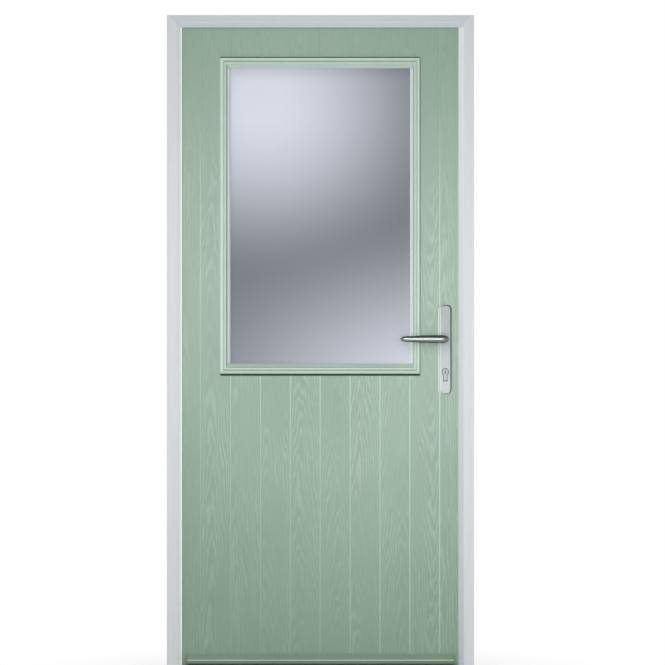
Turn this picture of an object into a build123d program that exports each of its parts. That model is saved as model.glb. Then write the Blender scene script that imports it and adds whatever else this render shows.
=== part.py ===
from build123d import *
import os

os.makedirs("parts", exist_ok=True)

# Half-glazed composite entrance door set, seen from outside along +Y.
# +X is the lock side, +Z is up, and the origin is at the bottom centre of the threshold.

# Frame
frame_width = 980.0
frame_height = 2100.0
jamb_face = 48.0
head_face = 38.5
rebate_depth = 17.0
stop_depth = 21.0
bevel_width = 15.0
bevel_depth = 12.0
lip_radius = 2.5
seal_gap = 5.0
kerf_width = 3.0
kerf_depth = 5.0
seal_width = 8.0
seal_clearance = 0.4
strip_width = 10.0
strip_depth = 2.0
strip_setback = 6.0
fixing_hole = 10.0
fixing_end = 150.0
fixing_count = 4

# Threshold
track_height = 12.0
upstand_height = 26.0
threshold_nose = 10.0
upstand_flat = 6.0
ramp_width = 8.0
ramp_toe = 4.0
tread_pitch = 7.0
tread_width = 2.5
tread_depth = 1.2

# Leaf
leaf_thickness = 44.0
edge_gap = 5.0
lock_gap = 7.0
skin_thickness = 2.5
hinge_stile_width = 40.0
lock_stile_width = 80.0
top_rail_height = 40.0
bottom_rail_height = 60.0
groove_pitch = 95.4
groove_width = 5.0
groove_depth = 1.0
groove_margin = 60.0

# Glazing
cassette_width = 638.0
cassette_height = 1009.0
cassette_top_margin = 108.5
cassette_proud = 12.0
cassette_lap = 18.0
cassette_leg = 14.0
band_width = 9.0
band_round = 1.5
quirk_width = 3.0
quirk_depth = 2.5
bead_width = 6.5
bead_drop = 1.0
bead_rise = 0.8
step_width = 2.0
step_height = 6.0
glass_lip = 4.0
leg_clearance = 1.0
glass_clearance = 2.0
pane_thickness = 4.0
cavity_depth = 16.0
spacer_inset = 3.0
spacer_width = 7.0

# Weather bar
weather_bar_end = 18.0
weather_bar_height = 29.3
weather_bar_rise = 14.0
weather_bar_projection = 28.0
weather_bar_nose = 6.0
weather_bar_round = 2.0

# Lever furniture
lever_backset = 53.2
lever_height = 1066.8
lever_to_cylinder = 105.3
plate_width = 35.0
plate_height = 283.0
plate_above_lever = 107.6
plate_thickness = 9.0
plate_corner = 13.0
plate_bevel = 2.5
collar_diameter = 26.0
collar_height = 3.0
neck_diameter = 17.0
neck_setback = 0.5
lever_length = 144.0
lever_heel = 9.6
lever_projection = 52.0
grip_diameter = 24.5
grip_start = 12.0
grip_middle = 70.0
middle_diameter = 22.5
grip_sides = 24
tip_diameter = 18.0
tip_length = 20.0
spindle_side = 8.0
spindle_insert = 22.0
spindle_end = 0.5
spindle_hole = 13.0
bearing_clearance = 0.05

# Lock
cylinder_diameter = 19.5
cylinder_height = 38.0
cylinder_web = 11.5
cylinder_proud = 2.0
cylinder_clearance = 0.3
keyway_width = 2.4
keyway_height = 9.0
keyway_depth = 4.0
faceplate_width = 20.0
faceplate_thickness = 3.0
faceplate_below = 160.0
faceplate_above = 190.0
bolt_width = 12.0
bolt_depth = 22.0
bolt_clearance = 0.3
latch_height = 24.0
deadbolt_height = 32.0
hook_height = 44.0
hook_spacing = 640.0
keep_margin = 32.0
keep_pocket = 20.0

# Hinges
hinge_count = 3
hinge_inset = 213.0
hinge_height = 100.0
flap_width = 30.0
flap_thickness = 3.0
knuckle_diameter = 14.0
knuckle_count = 5
knuckle_gap = 0.4
knuckle_standoff = 1.0
pin_diameter = 8.0
pin_head_diameter = 12.0
pin_head_height = 3.0

# Frame planes
half_width = frame_width / 2
frame_depth = stop_depth + seal_gap + leaf_thickness
outside_y = -frame_depth / 2
inside_y = frame_depth / 2
stop_y = outside_y + stop_depth
sight_x = half_width - jamb_face
sight_top = frame_height - head_face
rebate_x = sight_x + rebate_depth
rebate_top = sight_top + rebate_depth
seal_inset = (rebate_depth - edge_gap) / 2
fixing_y = (stop_y + inside_y) / 2 + fixing_hole / 2
fixing_step = (frame_height - 2 * fixing_end) / (fixing_count - 1)

# Leaf planes
leaf_front = stop_y + seal_gap
leaf_back = leaf_front + leaf_thickness
leaf_left = -rebate_x + edge_gap
leaf_right = rebate_x - lock_gap
leaf_bottom = track_height + edge_gap
leaf_top = rebate_top - edge_gap
leaf_width = leaf_right - leaf_left
leaf_height = leaf_top - leaf_bottom
leaf_x = (leaf_left + leaf_right) / 2
leaf_y = (leaf_front + leaf_back) / 2
leaf_z = (leaf_bottom + leaf_top) / 2
core_depth = leaf_thickness - 2 * skin_thickness
groove_count = int((leaf_width - 2 * groove_margin) // groove_pitch) + 1

# Glazing planes
glass_x = leaf_x
glass_z = leaf_top - cassette_top_margin - cassette_height / 2
aperture_width = cassette_width - 2 * cassette_lap
aperture_height = cassette_height - 2 * cassette_lap
glass_width = aperture_width - 2 * glass_clearance
glass_height = aperture_height - 2 * glass_clearance
unit_depth = 2 * pane_thickness + cavity_depth
glass_setback = (leaf_thickness - unit_depth) / 2

# Furniture and hinge positions
lever_x = leaf_right - lever_backset
cylinder_z = lever_height - lever_to_cylinder
plate_z = lever_height + plate_above_lever - plate_height / 2
hook_low = cylinder_z - hook_spacing
hook_high = cylinder_z + hook_spacing
deadbolt_z = cylinder_z + cylinder_diameter / 2 + deadbolt_height / 2
faceplate_low = leaf_bottom + faceplate_below
faceplate_high = leaf_top - faceplate_above
hinge_x = (leaf_left - rebate_x) / 2
hinge_y = leaf_back + knuckle_standoff + knuckle_diameter / 2
hinge_step = (leaf_height - 2 * hinge_inset) / (hinge_count - 1)
hinge_levels = [leaf_bottom + hinge_inset + n * hinge_step for n in range(hinge_count)]
hinge_names = ["bottom", "middle", "top"]
knuckle_pitch = hinge_height / knuckle_count
knuckle_length = knuckle_pitch - knuckle_gap

# Reference planes
front_plane = Plane.XZ.offset(-leaf_front)
middle_plane = Plane.XZ.offset(-leaf_y)
hinge_plane = Plane(origin=(-half_width, 0, 0), x_dir=(1, 0, 0), z_dir=(0, 0, 1))
lock_plane = Plane(origin=(half_width, 0, frame_height), x_dir=(-1, 0, 0), z_dir=(0, 0, -1))
head_plane = Plane(origin=(-half_width, 0, frame_height), x_dir=(0, 0, -1), z_dir=(1, 0, 0))
hinge_mitre = Plane(origin=(-sight_x, 0, sight_top), z_dir=(1, 0, 1))
lock_mitre = Plane(origin=(sight_x, 0, sight_top), z_dir=(-1, 0, 1))
track_plane = Plane.XY.offset(track_height)

# Each bolt: its height up the leaf and its length.
bolts = [
    (hook_low, hook_height),
    (deadbolt_z, deadbolt_height),
    (lever_height, latch_height),
    (hook_high, hook_height),
]

# Each keep: its lower and upper end.
keeps = [
    (hook_low - hook_height / 2 - keep_margin, hook_low + hook_height / 2 + keep_margin),
    (deadbolt_z - deadbolt_height / 2 - keep_margin, lever_height + latch_height / 2 + keep_margin),
    (hook_high - hook_height / 2 - keep_margin, hook_high + hook_height / 2 + keep_margin),
]


def frame_outline(face):
    """Rebated frame section: first axis from the wall to the sight line, second from outside to inside."""
    with BuildSketch() as section:
        with BuildLine():
            Polyline(
                (0, outside_y),
                (face - bevel_width, outside_y),
                (face, outside_y + bevel_depth),
                (face, stop_y),
                (face - rebate_depth, stop_y),
                (face - rebate_depth, inside_y),
                (0, inside_y),
                close=True,
            )
        make_face()
        arris = section.vertices().sort_by_distance((face - bevel_width, outside_y))[0]
        lip = section.vertices().sort_by_distance((face, outside_y + bevel_depth))[0]
        fillet([arris, lip], lip_radius)
    return section.sketch


def frame_section(face):
    """The rebated section with the kerf of the weather seal and the groove of the intumescent strip."""
    with BuildSketch() as section:
        add(frame_outline(face))
        with Locations((face - seal_inset, stop_y)):
            Rectangle(kerf_width, 2 * kerf_depth, mode=Mode.SUBTRACT)
        with Locations((face - rebate_depth, stop_y + strip_setback + strip_width / 2)):
            Rectangle(2 * strip_depth, strip_width, mode=Mode.SUBTRACT)
    return section.sketch


def seal_section(face):
    """Weather seal: a foot pushed into the kerf and a domed bulb towards the leaf."""
    bulb = seal_gap - seal_clearance
    with BuildSketch() as section:
        with Locations((face - seal_inset, stop_y - kerf_depth / 2)):
            Rectangle(kerf_width, kerf_depth)
        with BuildLine():
            left = (face - seal_inset - seal_width / 2, stop_y)
            right = (face - seal_inset + seal_width / 2, stop_y)
            ThreePointArc(left, (face - seal_inset, stop_y + bulb), right)
            Line(right, left)
        make_face()
    return section.sketch


def strip_section(face):
    """Intumescent strip, flush with the rebate face."""
    with BuildSketch() as section:
        with Locations(
            (face - rebate_depth - strip_depth / 2, stop_y + strip_setback + strip_width / 2)
        ):
            Rectangle(strip_depth, strip_width)
    return section.sketch


def euro_profile(clearance):
    """Keyhole-shaped outline of the lock cylinder, its barrel centred on the origin."""
    foot = cylinder_height - cylinder_diameter / 2 - cylinder_web / 2
    with BuildSketch() as section:
        Circle(cylinder_diameter / 2 + clearance)
        with Locations((0, -foot / 2)):
            Rectangle(cylinder_web + 2 * clearance, foot)
        with Locations((0, -foot)):
            Circle(cylinder_web / 2 + clearance)
    return section.sketch


# Hinge jamb: rebated post with three hinge housings and the wall fixing holes.
with BuildPart() as hinge_jamb:
    with BuildSketch(hinge_plane):
        add(frame_section(jamb_face))
    extrude(amount=frame_height)
    split(bisect_by=hinge_mitre, keep=Keep.BOTTOM)
    with BuildSketch(Plane.YZ.offset(-rebate_x)):
        for level in hinge_levels:
            with Locations((inside_y - flap_width / 2, level)):
                Rectangle(flap_width, hinge_height)
    extrude(amount=-flap_thickness, mode=Mode.SUBTRACT)
    with BuildSketch(Plane.YZ.offset(-half_width)):
        for n in range(fixing_count):
            with Locations((fixing_y, fixing_end + n * fixing_step)):
                Circle(fixing_hole / 2)
    extrude(amount=jamb_face, mode=Mode.SUBTRACT)
hinge_jamb.part.label = "hinge_jamb"
export_step(hinge_jamb.part, "parts/hinge_jamb.step")

# Lock jamb: the same post on the other side, with housings for the keeps and the bolts.
with BuildPart() as lock_jamb:
    with BuildSketch(lock_plane):
        add(frame_section(jamb_face))
    extrude(amount=frame_height)
    split(bisect_by=lock_mitre, keep=Keep.BOTTOM)
    with BuildSketch(Plane.YZ.offset(rebate_x)):
        for low, high in keeps:
            with Locations((leaf_y, (low + high) / 2)):
                Rectangle(faceplate_width, high - low)
    extrude(amount=faceplate_thickness, mode=Mode.SUBTRACT)
    with BuildSketch(Plane.YZ.offset(rebate_x)):
        for level, height in bolts:
            with Locations((leaf_y, level)):
                Rectangle(bolt_width, height)
    extrude(amount=keep_pocket, mode=Mode.SUBTRACT)
    with BuildSketch(Plane.YZ.offset(half_width)):
        for n in range(fixing_count):
            with Locations((fixing_y, fixing_end + n * fixing_step)):
                Circle(fixing_hole / 2)
    extrude(amount=-jamb_face, mode=Mode.SUBTRACT)
lock_jamb.part.label = "lock_jamb"
export_step(lock_jamb.part, "parts/lock_jamb.step")

# Head: the same section laid across the top, mitred to both jambs.
with BuildPart() as frame_head:
    with BuildSketch(head_plane):
        add(frame_section(head_face))
    extrude(amount=frame_width)
    split(bisect_by=hinge_mitre, keep=Keep.TOP)
    split(bisect_by=lock_mitre, keep=Keep.TOP)
frame_head.part.label = "frame_head"
export_step(frame_head.part, "parts/frame_head.step")

# Threshold: low section with a weather upstand and a ribbed tread, scribed round the jambs.
with BuildPart() as threshold:
    with BuildSketch(Plane.YZ.offset(-rebate_x)):
        with BuildLine():
            Polyline(
                (outside_y, 0),
                (outside_y, threshold_nose),
                (stop_y - upstand_flat, upstand_height),
                (stop_y, upstand_height),
                (stop_y, track_height),
                (inside_y - ramp_width, track_height),
                (inside_y, ramp_toe),
                (inside_y, 0),
                close=True,
            )
        make_face()
        with Locations((stop_y, (upstand_height + leaf_bottom) / 2)):
            Rectangle(2 * kerf_depth, kerf_width, mode=Mode.SUBTRACT)
        tread_run = inside_y - ramp_width - leaf_y
        tread_count = int(tread_run // tread_pitch)
        with Locations((inside_y - ramp_width - tread_run / 2, track_height)):
            with GridLocations(tread_pitch, 1, tread_count, 1):
                Rectangle(tread_width, 2 * tread_depth, mode=Mode.SUBTRACT)
    extrude(amount=2 * rebate_x)
    with BuildSketch(hinge_plane):
        add(frame_outline(jamb_face))
    extrude(amount=upstand_height, mode=Mode.SUBTRACT)
    with BuildSketch(lock_plane):
        add(frame_outline(jamb_face))
    extrude(amount=frame_height, mode=Mode.SUBTRACT)
threshold.part.label = "threshold"
export_step(threshold.part, "parts/threshold.step")

# Weather seals round the stops, mitred at the head and standing on the track.
with BuildPart() as hinge_jamb_seal:
    with BuildSketch(hinge_plane):
        add(seal_section(jamb_face))
    extrude(amount=frame_height)
    split(bisect_by=hinge_mitre, keep=Keep.BOTTOM)
    split(bisect_by=track_plane, keep=Keep.TOP)
hinge_jamb_seal.part.label = "hinge_jamb_seal"
export_step(hinge_jamb_seal.part, "parts/hinge_jamb_seal.step")

with BuildPart() as lock_jamb_seal:
    with BuildSketch(lock_plane):
        add(seal_section(jamb_face))
    extrude(amount=frame_height)
    split(bisect_by=lock_mitre, keep=Keep.BOTTOM)
    split(bisect_by=track_plane, keep=Keep.TOP)
lock_jamb_seal.part.label = "lock_jamb_seal"
export_step(lock_jamb_seal.part, "parts/lock_jamb_seal.step")

with BuildPart() as head_seal:
    with BuildSketch(head_plane):
        add(seal_section(head_face))
    extrude(amount=frame_width)
    split(bisect_by=hinge_mitre, keep=Keep.TOP)
    split(bisect_by=lock_mitre, keep=Keep.TOP)
head_seal.part.label = "head_seal"
export_step(head_seal.part, "parts/head_seal.step")

# Threshold seal: the same kind of bulb in the back of the upstand, low enough for the leaf edge.
with BuildPart() as threshold_seal:
    seal_z = (upstand_height + leaf_bottom) / 2
    seal_half = (upstand_height - leaf_bottom) / 2
    with BuildSketch(Plane.YZ.offset(-sight_x)):
        with Locations((stop_y - kerf_depth / 2, seal_z)):
            Rectangle(kerf_depth, kerf_width)
        with BuildLine():
            bulb_low = (stop_y, seal_z - seal_half)
            bulb_high = (stop_y, seal_z + seal_half)
            ThreePointArc(bulb_low, (leaf_front - seal_clearance, seal_z), bulb_high)
            Line(bulb_high, bulb_low)
        make_face()
    extrude(amount=2 * sight_x)
threshold_seal.part.label = "threshold_seal"
export_step(threshold_seal.part, "parts/threshold_seal.step")

# Intumescent strips in the rebate faces.
with BuildPart() as hinge_jamb_strip:
    with BuildSketch(hinge_plane):
        add(strip_section(jamb_face))
    extrude(amount=frame_height)
    split(bisect_by=hinge_mitre, keep=Keep.BOTTOM)
hinge_jamb_strip.part.label = "hinge_jamb_strip"
export_step(hinge_jamb_strip.part, "parts/hinge_jamb_strip.step")

with BuildPart() as lock_jamb_strip:
    with BuildSketch(lock_plane):
        add(strip_section(jamb_face))
    extrude(amount=frame_height)
    split(bisect_by=lock_mitre, keep=Keep.BOTTOM)
lock_jamb_strip.part.label = "lock_jamb_strip"
export_step(lock_jamb_strip.part, "parts/lock_jamb_strip.step")

with BuildPart() as head_strip:
    with BuildSketch(head_plane):
        add(strip_section(head_face))
    extrude(amount=frame_width)
    split(bisect_by=hinge_mitre, keep=Keep.TOP)
    split(bisect_by=lock_mitre, keep=Keep.TOP)
head_strip.part.label = "head_strip"
export_step(head_strip.part, "parts/head_strip.step")

# Keeps: three plates let into the lock jamb, open where the bolts enter.
with BuildPart() as lock_keeps:
    with BuildSketch(Plane.YZ.offset(rebate_x)):
        for low, high in keeps:
            with Locations((leaf_y, (low + high) / 2)):
                Rectangle(faceplate_width, high - low)
        for level, height in bolts:
            with Locations((leaf_y, level)):
                Rectangle(bolt_width, height, mode=Mode.SUBTRACT)
    extrude(amount=faceplate_thickness)
lock_keeps.part.label = "lock_keeps"
export_step(lock_keeps.part, "parts/lock_keeps.step")

# Outer skin: moulded sheet with full-height plank grooves and the glazing aperture.
with BuildPart() as outer_skin:
    with BuildSketch(front_plane):
        with Locations((leaf_x, leaf_z)):
            Rectangle(leaf_width, leaf_height)
        with Locations((glass_x, glass_z)):
            Rectangle(aperture_width, aperture_height, mode=Mode.SUBTRACT)
        with Locations((lever_x, lever_height)):
            Circle(spindle_hole / 2, mode=Mode.SUBTRACT)
        with Locations((lever_x, cylinder_z)):
            add(euro_profile(cylinder_clearance), mode=Mode.SUBTRACT)
    extrude(amount=-skin_thickness)
    with BuildSketch(Plane.XY.offset(leaf_bottom)):
        with Locations((leaf_x, leaf_front)):
            with GridLocations(groove_pitch, 1, groove_count, 1):
                Polygon(
                    (-groove_width / 2, 0),
                    (0, groove_depth),
                    (groove_width / 2, 0),
                    align=None,
                )
    extrude(amount=leaf_height, mode=Mode.SUBTRACT)
outer_skin.part.label = "outer_skin"
export_step(outer_skin.part, "parts/outer_skin.step")

# Inner skin: the same moulding facing the room, notched for the hinge flaps.
with BuildPart() as inner_skin:
    mirror(outer_skin.part, about=middle_plane)
    with BuildSketch(Plane.YZ.offset(leaf_left)):
        for level in hinge_levels:
            with Locations((leaf_back - flap_width / 2, level)):
                Rectangle(flap_width, hinge_height)
    extrude(amount=flap_thickness, mode=Mode.SUBTRACT)
inner_skin.part.label = "inner_skin"
export_step(inner_skin.part, "parts/inner_skin.step")

# Hinge stile, housed for the leaf flaps.
with BuildPart() as hinge_stile:
    with BuildSketch(middle_plane):
        with Locations((leaf_left + hinge_stile_width / 2, leaf_z)):
            Rectangle(hinge_stile_width, leaf_height)
    extrude(amount=core_depth / 2, both=True)
    with BuildSketch(Plane.YZ.offset(leaf_left)):
        for level in hinge_levels:
            with Locations((leaf_back - flap_width / 2, level)):
                Rectangle(flap_width, hinge_height)
    extrude(amount=flap_thickness, mode=Mode.SUBTRACT)
hinge_stile.part.label = "hinge_stile"
export_step(hinge_stile.part, "parts/hinge_stile.step")

# Lock stile, bored for the spindle and cylinder and housed for the lock edge.
with BuildPart() as lock_stile:
    with BuildSketch(middle_plane):
        with Locations((leaf_right - lock_stile_width / 2, leaf_z)):
            Rectangle(lock_stile_width, leaf_height)
        with Locations((lever_x, lever_height)):
            Circle(spindle_hole / 2, mode=Mode.SUBTRACT)
        with Locations((lever_x, cylinder_z)):
            add(euro_profile(cylinder_clearance), mode=Mode.SUBTRACT)
    extrude(amount=core_depth / 2, both=True)
    with BuildSketch(Plane.YZ.offset(leaf_right)):
        with Locations((leaf_y, (faceplate_low + faceplate_high) / 2)):
            Rectangle(faceplate_width, faceplate_high - faceplate_low)
    extrude(amount=-faceplate_thickness, mode=Mode.SUBTRACT)
    with BuildSketch(Plane.YZ.offset(leaf_right)):
        for level, height in bolts:
            with Locations((leaf_y, level)):
                Rectangle(bolt_width, height)
    extrude(amount=-bolt_depth, mode=Mode.SUBTRACT)
lock_stile.part.label = "lock_stile"
export_step(lock_stile.part, "parts/lock_stile.step")

# Rails between the stiles.
rail_width = leaf_width - hinge_stile_width - lock_stile_width
rail_x = leaf_left + hinge_stile_width + rail_width / 2

with BuildPart() as top_rail:
    with BuildSketch(middle_plane):
        with Locations((rail_x, leaf_top - top_rail_height / 2)):
            Rectangle(rail_width, top_rail_height)
    extrude(amount=core_depth / 2, both=True)
top_rail.part.label = "top_rail"
export_step(top_rail.part, "parts/top_rail.step")

with BuildPart() as bottom_rail:
    with BuildSketch(middle_plane):
        with Locations((rail_x, leaf_bottom + bottom_rail_height / 2)):
            Rectangle(rail_width, bottom_rail_height)
    extrude(amount=core_depth / 2, both=True)
bottom_rail.part.label = "bottom_rail"
export_step(bottom_rail.part, "parts/bottom_rail.step")

# Foam core filling the leaf round the glazing aperture.
core_low = leaf_bottom + bottom_rail_height
core_high = leaf_top - top_rail_height

with BuildPart() as foam_core:
    with BuildSketch(middle_plane):
        with Locations((rail_x, (core_low + core_high) / 2)):
            Rectangle(rail_width, core_high - core_low)
        with Locations((glass_x, glass_z)):
            Rectangle(aperture_width, aperture_height, mode=Mode.SUBTRACT)
    extrude(amount=core_depth / 2, both=True)
foam_core.part.label = "foam_core"
export_step(foam_core.part, "parts/foam_core.step")

# Outer glazing cassette: flat band, quirk, bead and sloped lip, run round the aperture with mitred corners.
cassette_sight = cassette_lap + cassette_leg
leg_start = cassette_lap + leg_clearance
cassette_low = glass_z - cassette_height / 2
cassette_plane = Plane(
    origin=(glass_x, leaf_front, cassette_low), x_dir=(0, 0, 1), z_dir=(1, 0, 0)
)

with BuildPart() as outer_cassette:
    with BuildLine(front_plane) as cassette_path:
        Polyline(
            (glass_x, cassette_low),
            (glass_x + cassette_width / 2, cassette_low),
            (glass_x + cassette_width / 2, cassette_low + cassette_height),
            (glass_x - cassette_width / 2, cassette_low + cassette_height),
            (glass_x - cassette_width / 2, cassette_low),
            close=True,
        )
    with BuildSketch(cassette_plane):
        with BuildLine():
            edge = Line((0, 0), (0, cassette_proud - band_round))
            arris = TangentArc(edge @ 1, (band_round, cassette_proud), tangent=edge % 1)
            band = Line(arris @ 1, (band_width, cassette_proud))
            quirk = Polyline(
                band @ 1,
                (band_width + quirk_width / 2, cassette_proud - quirk_depth),
                (band_width + quirk_width, cassette_proud - bead_drop),
            )
            bead = ThreePointArc(
                quirk @ 1,
                quirk @ 1 + Vector(bead_width / 2, bead_rise),
                quirk @ 1 + Vector(bead_width, 0),
            )
            step = Line(bead @ 1, bead @ 1 + Vector(step_width, -step_height))
            slope = Line(step @ 1, (cassette_sight, glass_lip - glass_setback))
            Polyline(
                slope @ 1,
                (cassette_sight, -glass_setback),
                (leg_start, -glass_setback),
                (leg_start, 0),
                edge @ 0,
            )
        make_face()
    sweep(path=cassette_path.wires()[0], transition=Transition.RIGHT)
outer_cassette.part.label = "outer_cassette"
export_step(outer_cassette.part, "parts/outer_cassette.step")

with BuildPart() as inner_cassette:
    mirror(outer_cassette.part, about=middle_plane)
inner_cassette.part.label = "inner_cassette"
export_step(inner_cassette.part, "parts/inner_cassette.step")

# Sealed glass unit: two panes either side of a spacer bar.
with BuildPart() as outer_pane:
    with BuildSketch(front_plane.offset(-glass_setback)):
        with Locations((glass_x, glass_z)):
            Rectangle(glass_width, glass_height)
    extrude(amount=-pane_thickness)
outer_pane.part.label = "outer_pane"
export_step(outer_pane.part, "parts/outer_pane.step")

with BuildPart() as inner_pane:
    mirror(outer_pane.part, about=middle_plane)
inner_pane.part.label = "inner_pane"
export_step(inner_pane.part, "parts/inner_pane.step")

with BuildPart() as spacer_bar:
    with BuildSketch(middle_plane):
        with Locations((glass_x, glass_z)):
            Rectangle(glass_width - 2 * spacer_inset, glass_height - 2 * spacer_inset)
            Rectangle(
                glass_width - 2 * (spacer_inset + spacer_width),
                glass_height - 2 * (spacer_inset + spacer_width),
                mode=Mode.SUBTRACT,
            )
    extrude(amount=cavity_depth / 2, both=True)
spacer_bar.part.label = "spacer_bar"
export_step(spacer_bar.part, "parts/spacer_bar.step")

# Weather bar: a sloped drip moulding across the foot of the leaf.
weather_bar_length = 2 * (sight_x - weather_bar_end)
weather_bar_low = leaf_bottom + weather_bar_rise
weather_bar_high = weather_bar_low + weather_bar_height

with BuildPart() as weather_bar:
    with BuildSketch(Plane.YZ.offset(-weather_bar_length / 2)):
        with BuildLine():
            Polyline(
                (leaf_front, weather_bar_low),
                (leaf_front, weather_bar_high),
                (leaf_front - 0.12 * weather_bar_projection, weather_bar_high),
                (leaf_front - weather_bar_projection, weather_bar_low + 0.48 * weather_bar_height),
                (leaf_front - weather_bar_projection, weather_bar_low + 0.3 * weather_bar_height),
                (leaf_front - weather_bar_projection + weather_bar_nose, weather_bar_low),
                close=True,
            )
        make_face()
    extrude(amount=weather_bar_length)
    fillet(weather_bar.faces().sort_by(Axis.Y)[0].edges().filter_by(Axis.X), weather_bar_round)
weather_bar.part.label = "weather_bar"
export_step(weather_bar.part, "parts/weather_bar.step")

# Outer handle plate: a round-cornered backplate with a turned collar and a cylinder cut-out.
with BuildPart() as outer_handle_plate:
    with BuildSketch(front_plane):
        with Locations((lever_x, plate_z)):
            RectangleRounded(plate_width, plate_height, plate_corner)
    extrude(amount=plate_thickness)
    chamfer(outer_handle_plate.faces().sort_by(Axis.Y)[0].edges(), plate_bevel)
    with BuildSketch(front_plane):
        with Locations((lever_x, lever_height)):
            Circle(collar_diameter / 2)
    extrude(amount=plate_thickness + collar_height)
    with BuildSketch(front_plane):
        with Locations((lever_x, lever_height)):
            Circle(neck_diameter / 2 + bearing_clearance)
        with Locations((lever_x, cylinder_z)):
            add(euro_profile(cylinder_clearance))
    extrude(amount=plate_thickness + collar_height, mode=Mode.SUBTRACT)
outer_handle_plate.part.label = "outer_handle_plate"
export_step(outer_handle_plate.part, "parts/outer_handle_plate.step")

with BuildPart() as inner_handle_plate:
    mirror(outer_handle_plate.part, about=middle_plane)
inner_handle_plate.part.label = "inner_handle_plate"
export_step(inner_handle_plate.part, "parts/inner_handle_plate.step")

# Outer lever: a tapered grip of many flats on a round neck, drawn in at the heel and at the tip.
grip_y = leaf_front - lever_projection
neck_plane = front_plane.offset(neck_setback)

# Each section of the grip: how far it stands from the spindle towards the tip, and its diameter.
grip_sections = [
    (-lever_heel, 0.15 * grip_diameter),
    (-0.8 * lever_heel, 0.5 * grip_diameter),
    (-0.45 * lever_heel, 0.8 * grip_diameter),
    (0, 0.95 * grip_diameter),
    (grip_start, grip_diameter),
    (grip_middle, middle_diameter),
    (lever_length - tip_length, tip_diameter),
    (lever_length - 0.45 * tip_length, 0.82 * tip_diameter),
    (lever_length - 0.12 * tip_length, 0.53 * tip_diameter),
    (lever_length, 0.2 * tip_diameter),
]

with BuildPart() as outer_lever:
    for reach, diameter in grip_sections:
        with BuildSketch(Plane.YZ.offset(lever_x - reach)):
            with Locations((grip_y, lever_height)):
                RegularPolygon(diameter / 2, grip_sides)
    loft(ruled=True)
    with BuildSketch(neck_plane):
        with Locations((lever_x, lever_height)):
            Circle(neck_diameter / 2)
    extrude(amount=lever_projection - neck_setback)
    with BuildSketch(neck_plane):
        with Locations((lever_x, lever_height)):
            Rectangle(spindle_side + 2 * bearing_clearance, spindle_side + 2 * bearing_clearance)
    extrude(amount=spindle_insert, mode=Mode.SUBTRACT)
outer_lever.part.label = "outer_lever"
export_step(outer_lever.part, "parts/outer_lever.step")

with BuildPart() as inner_lever:
    mirror(outer_lever.part, about=middle_plane)
inner_lever.part.label = "inner_lever"
export_step(inner_lever.part, "parts/inner_lever.step")

# Spindle: a square bar from one lever neck to the other.
with BuildPart() as spindle:
    with BuildSketch(middle_plane):
        with Locations((lever_x, lever_height)):
            Rectangle(spindle_side, spindle_side)
    extrude(amount=leaf_thickness / 2 + neck_setback + spindle_insert - spindle_end, both=True)
spindle.part.label = "spindle"
export_step(spindle.part, "parts/spindle.step")

# Lock cylinder: keyhole-section barrel through the leaf, with a keyway at each end.
with BuildPart() as lock_cylinder:
    cylinder_half = leaf_thickness / 2 + plate_thickness + cylinder_proud
    with BuildSketch(middle_plane):
        with Locations((lever_x, cylinder_z)):
            add(euro_profile(0))
    extrude(amount=cylinder_half, both=True)
    for end in (-cylinder_half, cylinder_half - keyway_depth):
        with BuildSketch(middle_plane.offset(end)):
            with Locations((lever_x, cylinder_z)):
                Rectangle(keyway_width, keyway_height)
        extrude(amount=keyway_depth, mode=Mode.SUBTRACT)
lock_cylinder.part.label = "lock_cylinder"
export_step(lock_cylinder.part, "parts/lock_cylinder.step")

# Lock faceplate: a long strip let into the lock edge, open where the bolts come out.
with BuildPart() as lock_faceplate:
    with BuildSketch(Plane.YZ.offset(leaf_right)):
        with Locations((leaf_y, (faceplate_low + faceplate_high) / 2)):
            Rectangle(faceplate_width, faceplate_high - faceplate_low)
        for level, height in bolts:
            with Locations((leaf_y, level)):
                Rectangle(bolt_width, height, mode=Mode.SUBTRACT)
    extrude(amount=-faceplate_thickness)
lock_faceplate.part.label = "lock_faceplate"
export_step(lock_faceplate.part, "parts/lock_faceplate.step")

# Bolts: latch, deadbolt and two hooks, all drawn back level with the faceplate.
with BuildPart() as lock_bolts:
    with BuildSketch(Plane.YZ.offset(leaf_right)):
        for level, height in bolts:
            with Locations((leaf_y, level)):
                Rectangle(bolt_width - 2 * bolt_clearance, height - 2 * bolt_clearance)
    extrude(amount=-bolt_depth)
lock_bolts.part.label = "lock_bolts"
export_step(lock_bolts.part, "parts/lock_bolts.step")

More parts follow.
